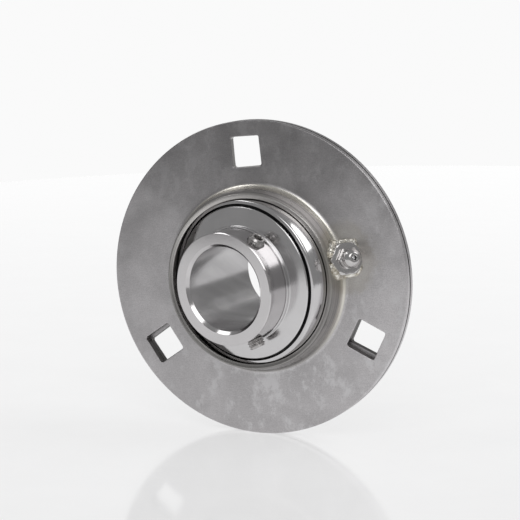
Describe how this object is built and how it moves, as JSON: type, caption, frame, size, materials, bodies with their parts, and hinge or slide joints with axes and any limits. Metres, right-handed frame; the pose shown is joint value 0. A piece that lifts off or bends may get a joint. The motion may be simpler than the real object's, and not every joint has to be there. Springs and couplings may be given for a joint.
{
  "type": "flange mount bearing",
  "caption": "Round flange bearing unit: two pressed steel plates hold a swivelling insert ball bearing with set screws, seals and a grease fitting.",
  "frame": {"origin": "centre of the spherical seat, in the parting plane of the two flange plates", "axes": "+Y is the housing's axis towards the rear mounting face, the clamping side of the insert faces -Y, and +Z passes through one bolt hole"},
  "size_m": [0.1128, 0.0454, 0.1128],
  "materials": {
    "pressed_steel": "pickled and tumbled stainless sheet, satin, with faint blotches",
    "turned_steel": "turned and ground stainless",
    "polished_steel": "polished stainless, nearly a mirror",
    "cage_steel": "pressed stainless ribbon",
    "ball_steel": "lapped balls and bright spring wire",
    "screw_steel": "stainless set screw",
    "weld_metal": "weld bead with straw heat tint",
    "seal_rubber": "black nitrile"
  },
  "bodies": {
    "housing": {"front_flange": "pressed_steel", "rear_flange": "pressed_steel", "grease_boss": "turned_steel", "weld_upper": "weld_metal", "weld_lower": "weld_metal", "grease_fitting": "turned_steel", "fitting_spring": "ball_steel"},
    "outer_ring": {"outer_ring": "polished_steel", "front_seal": "seal_rubber", "rear_seal": "seal_rubber"},
    "inner_ring": {"inner_ring": "turned_steel", "front_flinger": "polished_steel", "rear_flinger": "polished_steel"},
    "cage": {"cage_front": "cage_steel", "cage_rear": "cage_steel", "cage_rivet_1": "cage_steel", "cage_rivet_2": "cage_steel", "cage_rivet_3": "cage_steel", "cage_rivet_4": "cage_steel", "cage_rivet_5": "cage_steel", "cage_rivet_6": "cage_steel", "cage_rivet_7": "cage_steel", "cage_rivet_8": "cage_steel", "cage_rivet_9": "cage_steel"},
    "ball_1": {"ball_1": "ball_steel"},
    "ball_2": {"ball_2": "ball_steel"},
    "ball_3": {"ball_3": "ball_steel"},
    "ball_4": {"ball_4": "ball_steel"},
    "ball_5": {"ball_5": "ball_steel"},
    "ball_6": {"ball_6": "ball_steel"},
    "ball_7": {"ball_7": "ball_steel"},
    "ball_8": {"ball_8": "ball_steel"},
    "ball_9": {"ball_9": "ball_steel"},
    "set_screw_1": {"set_screw_1": "screw_steel"},
    "set_screw_2": {"set_screw_2": "screw_steel"},
    "fitting_ball": {"fitting_ball": "ball_steel"}
  },
  "joints": [
    {"name": "insert_swivel", "type": "hinge", "parent": "housing", "child": "outer_ring", "pos_m": [0, 0, 0], "axis": [-0.1351, 0, 0.9908], "range_deg": [-2.23, 25.77]},
    {"name": "shaft_spin", "type": "hinge", "parent": "outer_ring", "child": "inner_ring", "pos_m": [0, 0, 0], "axis": [-0.2021, -0.979, -0.0276], "continuous": true},
    {"name": "cage_spin", "type": "hinge", "parent": "outer_ring", "child": "cage", "pos_m": [0, 0, 0], "axis": [-0.2021, -0.979, -0.0276], "continuous": true},
    {"name": "ball_1_spin", "type": "hinge", "parent": "cage", "child": "ball_1", "pos_m": [0.02253, -0.00465, -0.00006], "axis": [-0.2021, -0.979, -0.0276], "continuous": true},
    {"name": "ball_2_spin", "type": "hinge", "parent": "cage", "child": "ball_2", "pos_m": [0.01721, -0.00397, 0.01473], "axis": [-0.2021, -0.979, -0.0276], "continuous": true},
    {"name": "ball_3_spin", "type": "hinge", "parent": "cage", "child": "ball_3", "pos_m": [0.00385, -0.00143, 0.02263], "axis": [-0.2021, -0.979, -0.0276], "continuous": true},
    {"name": "ball_4_spin", "type": "hinge", "parent": "cage", "child": "ball_4", "pos_m": [-0.01132, 0.00178, 0.01994], "axis": [-0.2021, -0.979, -0.0276], "continuous": true},
    {"name": "ball_5_spin", "type": "hinge", "parent": "cage", "child": "ball_5", "pos_m": [-0.02119, 0.00415, 0.00792], "axis": [-0.2021, -0.979, -0.0276], "continuous": true},
    {"name": "ball_6_spin", "type": "hinge", "parent": "cage", "child": "ball_6", "pos_m": [-0.02114, 0.00459, -0.0078], "axis": [-0.2021, -0.979, -0.0276], "continuous": true},
    {"name": "ball_7_spin", "type": "hinge", "parent": "cage", "child": "ball_7", "pos_m": [-0.01121, 0.00287, -0.01988], "axis": [-0.2021, -0.979, -0.0276], "continuous": true},
    {"name": "ball_8_spin", "type": "hinge", "parent": "cage", "child": "ball_8", "pos_m": [0.00398, -0.00018, -0.02265], "axis": [-0.2021, -0.979, -0.0276], "continuous": true},
    {"name": "ball_9_spin", "type": "hinge", "parent": "cage", "child": "ball_9", "pos_m": [0.0173, -0.00315, -0.01483], "axis": [-0.2021, -0.979, -0.0276], "continuous": true},
    {"name": "set_screw_1_travel", "type": "slide", "parent": "inner_ring", "child": "set_screw_1", "axis": [0.6007, -0.1462, 0.786], "range_m": [-0.0006, 0.002]},
    {"name": "set_screw_2_travel", "type": "slide", "parent": "inner_ring", "child": "set_screw_2", "axis": [0.3695, -0.0502, -0.9279], "range_m": [-0.0016, 0.001]},
    {"name": "fitting_ball_travel", "type": "slide", "parent": "housing", "child": "fitting_ball", "axis": [0.6959, -0.7071, 0.1252], "range_m": [-0.0008, 0], "stiffness_N_per_m": 250, "springref_m": 0.0004, "deforming": ["fitting_spring"]}
  ],
  "couplings": [
    {"joint": "cage_spin", "follows": "shaft_spin", "ratio": 0.39647},
    {"joint": "ball_1_spin", "follows": "shaft_spin", "ratio": -2.3112},
    {"joint": "ball_2_spin", "follows": "shaft_spin", "ratio": -2.3112},
    {"joint": "ball_3_spin", "follows": "shaft_spin", "ratio": -2.3112},
    {"joint": "ball_4_spin", "follows": "shaft_spin", "ratio": -2.3112},
    {"joint": "ball_5_spin", "follows": "shaft_spin", "ratio": -2.3112},
    {"joint": "ball_6_spin", "follows": "shaft_spin", "ratio": -2.3112},
    {"joint": "ball_7_spin", "follows": "shaft_spin", "ratio": -2.3112},
    {"joint": "ball_8_spin", "follows": "shaft_spin", "ratio": -2.3112},
    {"joint": "ball_9_spin", "follows": "shaft_spin", "ratio": -2.3112}
  ]
}
